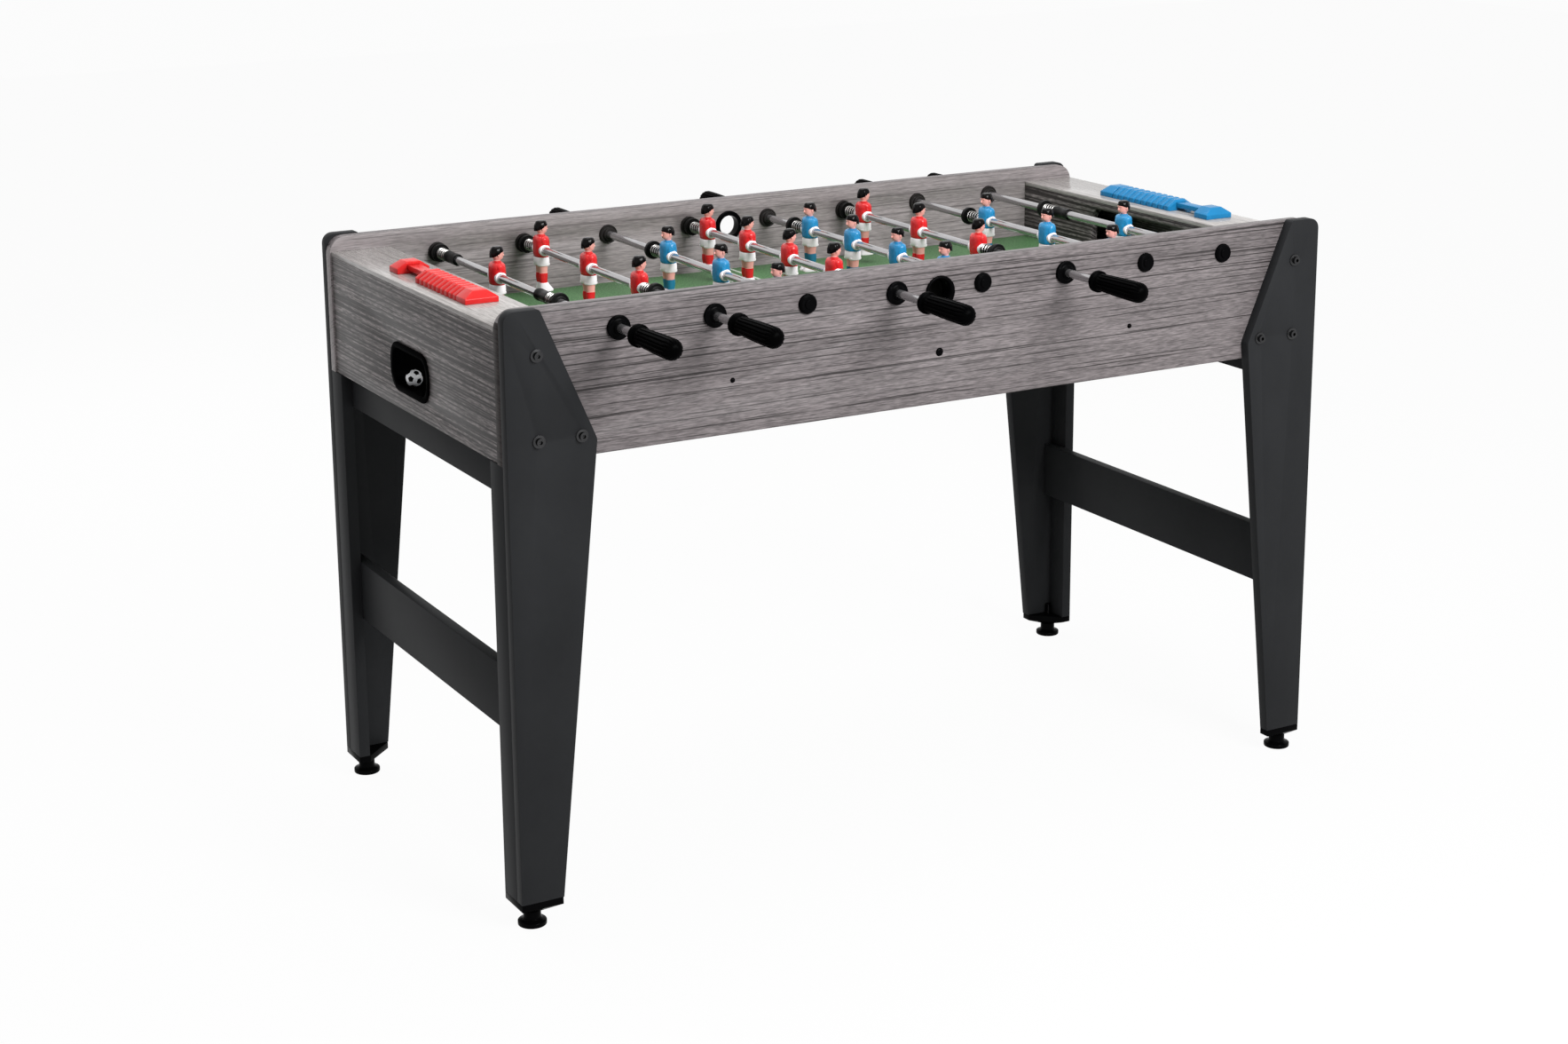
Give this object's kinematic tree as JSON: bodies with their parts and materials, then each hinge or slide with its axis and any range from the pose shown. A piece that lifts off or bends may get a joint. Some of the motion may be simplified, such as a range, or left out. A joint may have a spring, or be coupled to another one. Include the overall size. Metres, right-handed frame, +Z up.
{
  "type": "foosball table",
  "caption": "Foosball table: grey laminate cabinet on tapered dark legs, telescopic player rods with grips, block scorers, serve cups and ball returns.",
  "frame": {"origin": "centre of the table on the floor", "axes": "+X along the table's length, -Y towards the side with the red team's handles, +Z up"},
  "size_m": [1.21, 0.9328, 0.774],
  "materials": {
    "grey_laminate": "satin wood-grain laminate",
    "ledge_laminate": "gloss laminate",
    "charcoal_board": "matt foil",
    "raw_wood": "bare",
    "field_green": "satin printed board",
    "chrome": "polished",
    "black_plastic": "satin",
    "black_rubber": "satin",
    "black_steel": "black oxide",
    "red_plastic": "gloss",
    "blue_plastic": "gloss",
    "white_plastic": "gloss"
  },
  "bodies": {
    "cabinet": {"inner_rods": "chrome", "rod_bearings": "black_plastic", "side_panel_front": "grey_laminate", "side_panel_back": "grey_laminate", "end_panels": "grey_laminate", "goal_walls": "grey_laminate", "ledges": "ledge_laminate", "playfield": "field_green", "field_supports": "raw_wood", "return_cups": "black_plastic", "serve_cups": "black_plastic", "leg_front_left": "charcoal_board", "leg_front_right": "charcoal_board", "leg_back_left": "charcoal_board", "leg_back_right": "charcoal_board", "end_rails": "charcoal_board", "corner_caps": "black_plastic", "leg_bolts": "black_steel", "panel_screws": "black_steel", "scorer_rail_left": "red_plastic", "scorer_rail_right": "blue_plastic"},
    "slide_1": {"bumpers_1": "black_rubber"},
    "spin_1": {"rod_1": "chrome", "men_1": "red_plastic", "handle_1": "black_rubber"},
    "slide_2": {"bumpers_2": "black_rubber"},
    "spin_2": {"rod_2": "chrome", "men_2": "red_plastic", "handle_2": "black_rubber"},
    "slide_3": {"bumpers_3": "black_rubber"},
    "spin_3": {"rod_3": "chrome", "men_3": "blue_plastic", "handle_3": "black_rubber"},
    "slide_4": {"bumpers_4": "black_rubber"},
    "spin_4": {"rod_4": "chrome", "men_4": "red_plastic", "handle_4": "black_rubber"},
    "slide_5": {"bumpers_5": "black_rubber"},
    "spin_5": {"rod_5": "chrome", "men_5": "blue_plastic", "handle_5": "black_rubber"},
    "slide_6": {"bumpers_6": "black_rubber"},
    "spin_6": {"rod_6": "chrome", "men_6": "red_plastic", "handle_6": "black_rubber"},
    "slide_7": {"bumpers_7": "black_rubber"},
    "spin_7": {"rod_7": "chrome", "men_7": "blue_plastic", "handle_7": "black_rubber"},
    "slide_8": {"bumpers_8": "black_rubber"},
    "spin_8": {"rod_8": "chrome", "men_8": "blue_plastic", "handle_8": "black_rubber"},
    "foot_front_left": {"foot_front_left": "black_plastic"},
    "foot_front_right": {"foot_front_right": "black_plastic"},
    "foot_back_left": {"foot_back_left": "black_plastic"},
    "foot_back_right": {"foot_back_right": "black_plastic"},
    "blocks_left": {"score_blocks_left": "red_plastic"},
    "blocks_right": {"score_blocks_right": "blue_plastic"},
    "ball": {"ball": "white_plastic"}
  },
  "joints": [
    {"name": "rod_1_slide", "type": "slide", "parent": "cabinet", "child": "slide_1", "axis": [0, -1, 0], "range_m": [0, 0.1393]},
    {"name": "rod_1_spin", "type": "hinge", "parent": "slide_1", "child": "spin_1", "pos_m": [-0.4515, 0, 0.734], "axis": [0, 1, 0], "continuous": true},
    {"name": "rod_2_slide", "type": "slide", "parent": "cabinet", "child": "slide_2", "axis": [0, -1, 0], "range_m": [0, 0.1317]},
    {"name": "rod_2_spin", "type": "hinge", "parent": "slide_2", "child": "spin_2", "pos_m": [-0.3225, 0, 0.734], "axis": [0, 1, 0], "continuous": true},
    {"name": "rod_3_slide", "type": "slide", "parent": "cabinet", "child": "slide_3", "axis": [0, 1, 0], "range_m": [0, 0.1317]},
    {"name": "rod_3_spin", "type": "hinge", "parent": "slide_3", "child": "spin_3", "pos_m": [-0.1935, 0, 0.734], "axis": [0, 1, 0], "continuous": true},
    {"name": "rod_4_slide", "type": "slide", "parent": "cabinet", "child": "slide_4", "axis": [0, -1, 0], "range_m": [0, 0.0817]},
    {"name": "rod_4_spin", "type": "hinge", "parent": "slide_4", "child": "spin_4", "pos_m": [-0.0645, 0, 0.734], "axis": [0, 1, 0], "continuous": true},
    {"name": "rod_5_slide", "type": "slide", "parent": "cabinet", "child": "slide_5", "axis": [0, 1, 0], "range_m": [-0.014, 0.0677]},
    {"name": "rod_5_spin", "type": "hinge", "parent": "slide_5", "child": "spin_5", "pos_m": [0.0645, 0, 0.734], "axis": [0, 1, 0], "continuous": true},
    {"name": "rod_6_slide", "type": "slide", "parent": "cabinet", "child": "slide_6", "axis": [0, -1, 0], "range_m": [0, 0.1317]},
    {"name": "rod_6_spin", "type": "hinge", "parent": "slide_6", "child": "spin_6", "pos_m": [0.1935, 0, 0.734], "axis": [0, 1, 0], "continuous": true},
    {"name": "rod_7_slide", "type": "slide", "parent": "cabinet", "child": "slide_7", "axis": [0, 1, 0], "range_m": [0, 0.1317]},
    {"name": "rod_7_spin", "type": "hinge", "parent": "slide_7", "child": "spin_7", "pos_m": [0.3225, 0, 0.734], "axis": [0, 1, 0], "continuous": true},
    {"name": "rod_8_slide", "type": "slide", "parent": "cabinet", "child": "slide_8", "axis": [0, 1, 0], "range_m": [0, 0.1393]},
    {"name": "rod_8_spin", "type": "hinge", "parent": "slide_8", "child": "spin_8", "pos_m": [0.4515, 0, 0.734], "axis": [0, 1, 0], "continuous": true},
    {"name": "foot_front_left_screw", "type": "slide", "parent": "cabinet", "child": "foot_front_left", "axis": [0, 0, -1], "range_m": [0, 0.012]},
    {"name": "foot_front_right_screw", "type": "slide", "parent": "cabinet", "child": "foot_front_right", "axis": [0, 0, -1], "range_m": [0, 0.012]},
    {"name": "foot_back_left_screw", "type": "slide", "parent": "cabinet", "child": "foot_back_left", "axis": [0, 0, -1], "range_m": [0, 0.012]},
    {"name": "foot_back_right_screw", "type": "slide", "parent": "cabinet", "child": "foot_back_right", "axis": [0, 0, -1], "range_m": [0, 0.012]},
    {"name": "blocks_left_slide", "type": "slide", "parent": "cabinet", "child": "blocks_left", "axis": [0, 1, 0], "range_m": [0, 0.058]},
    {"name": "blocks_right_slide", "type": "slide", "parent": "cabinet", "child": "blocks_right", "axis": [0, -1, 0], "range_m": [0, 0.058]},
    {"name": "ball_roll", "type": "slide", "parent": "cabinet", "child": "ball", "axis": [0, 1, 0], "range_m": [-0.07, 0.006]}
  ]
}
